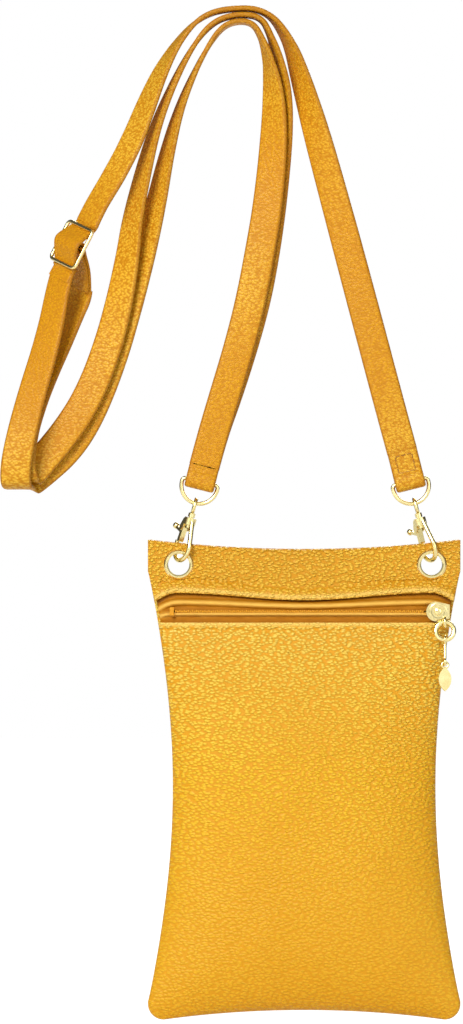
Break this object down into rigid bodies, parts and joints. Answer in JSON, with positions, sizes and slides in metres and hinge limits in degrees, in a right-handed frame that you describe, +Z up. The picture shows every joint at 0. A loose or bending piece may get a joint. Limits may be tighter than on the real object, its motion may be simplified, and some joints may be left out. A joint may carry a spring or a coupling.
{
  "type": "phone pouch",
  "caption": "Upright leather phone pouch with a zip across its front and a long strap with a slide buckle, clipped by swivel clasps to eyelets in its top corners.",
  "frame": {"origin": "underside of the strap's innermost layer where it hangs over a peg", "axes": "+Z up along the hanging strap, +Y from the zip's side to the plain back, +X to the right seen from the zip's side"},
  "size_m": [0.1774, 0.029, 0.391],
  "materials": {
    "leather": "grained",
    "strap": "smooth",
    "lining": "woven",
    "zip_teeth": "satin",
    "thread": "waxed",
    "gold_metal": "polished"
  },
  "bodies": {
    "strap": {"strap_right_run": "strap", "strap_outer_loop": "strap", "strap_inner_loop": "strap", "strap_right_fold": "strap", "strap_left_fold": "strap", "right_end_stitching": "thread"},
    "buckle": {"buckle_frame": "gold_metal", "buckle_bar": "gold_metal", "strap_buckle_pass": "strap", "strap_buckle_fold": "strap"},
    "pouch": {"front_panel": "leather", "top_band": "leather", "back_panel": "leather", "front_lining": "lining", "back_lining": "lining", "zip_tape_upper": "lining", "zip_tape_lower": "lining", "zip_teeth_upper": "zip_teeth", "zip_teeth_lower": "zip_teeth", "zip_end_stop": "zip_teeth", "eyelet_left": "gold_metal", "eyelet_right": "gold_metal", "eyelet_washer_left": "gold_metal", "eyelet_washer_right": "gold_metal"},
    "slider": {"zip_slider": "gold_metal"},
    "pull_ring": {"pull_ring": "gold_metal"},
    "pull_link": {"pull_link": "gold_metal"},
    "leaf": {"leaf_drop": "gold_metal"},
    "right_ring": {"d_ring_right": "gold_metal"},
    "right_eye": {"swivel_eye_right": "gold_metal"},
    "right_clasp": {"clasp_hook_right": "gold_metal", "gate_pin_right": "gold_metal"},
    "right_gate": {"clasp_gate_right": "gold_metal"},
    "left_ring": {"d_ring_left": "gold_metal"},
    "left_eye": {"swivel_eye_left": "gold_metal"},
    "left_clasp": {"clasp_hook_left": "gold_metal", "gate_pin_left": "gold_metal"},
    "left_gate": {"clasp_gate_left": "gold_metal"}
  },
  "joints": [
    {"name": "right_ring_swing", "type": "hinge", "parent": "strap", "child": "right_ring", "pos_m": [0.06398, 0, -0.1767], "axis": [1, 0, 0], "range_deg": [-18, 18]},
    {"name": "right_hook_turn", "type": "hinge", "parent": "pouch", "child": "right_clasp", "pos_m": [0.0724, 0, -0.207], "axis": [-0.2773, 0, 0.9608], "range_deg": [-4, 4]},
    {"name": "right_swivel", "type": "hinge", "parent": "right_clasp", "child": "right_eye", "pos_m": [0.0724, 0, -0.207], "axis": [-0.2773, 0, 0.9608], "range_deg": [-5, 5]},
    {"name": "right_gate_turn", "type": "hinge", "parent": "right_clasp", "child": "right_gate", "pos_m": [0.06755, 0.00254, -0.19528], "axis": [0.8402, 0.4851, 0.2425], "range_deg": [-25, 0], "stiffness_Nm_per_rad": 0.004, "springref_deg": 17.19},
    {"name": "left_ring_swing", "type": "hinge", "parent": "strap", "child": "left_ring", "pos_m": [-0.01678, 0, -0.1767], "axis": [1, 0, 0], "range_deg": [-18, 18]},
    {"name": "left_hook_turn", "type": "hinge", "parent": "pouch", "child": "left_clasp", "pos_m": [-0.0252, 0, -0.207], "axis": [0.2773, 0, 0.9608], "range_deg": [-4, 4]},
    {"name": "left_swivel", "type": "hinge", "parent": "left_clasp", "child": "left_eye", "pos_m": [-0.0252, 0, -0.207], "axis": [0.2773, 0, 0.9608], "range_deg": [-5, 5]},
    {"name": "left_gate_turn", "type": "hinge", "parent": "left_clasp", "child": "left_gate", "pos_m": [-0.02306, 0.00254, -0.1945], "axis": [0.8402, 0.4851, -0.2425], "range_deg": [-25, 0], "stiffness_Nm_per_rad": 0.004, "springref_deg": 17.19},
    {"name": "pouch_swing", "type": "hinge", "parent": "right_ring", "child": "pouch", "pos_m": [0.06605, 0, -0.185], "axis": [1, 0, 0], "range_deg": [-28, 28]},
    {"name": "zip_run", "type": "slide", "parent": "pouch", "child": "slider", "axis": [-1, 0, 0], "range_m": [0, 0.096], "deforming": ["zip_tape_upper", "zip_teeth_upper", "zip_tape_lower", "zip_teeth_lower"]},
    {"name": "pull_lift", "type": "hinge", "parent": "slider", "child": "pull_ring", "pos_m": [0.0772, -0.00728, -0.2307], "axis": [-1, 0, 0], "range_deg": [0, 60]},
    {"name": "link_swing", "type": "hinge", "parent": "pull_ring", "child": "pull_link", "pos_m": [0.0772, -0.00862, -0.23757], "axis": [-1, 0, 0], "range_deg": [0, 60]},
    {"name": "leaf_swing", "type": "hinge", "parent": "pull_link", "child": "leaf", "pos_m": [0.0772, -0.01026, -0.24601], "axis": [-1, 0, 0], "range_deg": [0, 60]},
    {"name": "buckle_run", "type": "slide", "parent": "strap", "child": "buckle", "axis": [0.454, 0, 0.891], "range_m": [-0.0045, 0.0045], "deforming": ["strap_buckle_pass", "strap_buckle_fold"]}
  ],
  "couplings": [
    {"joint": "left_ring_swing", "follows": "right_ring_swing", "ratio": 1}
  ]
}
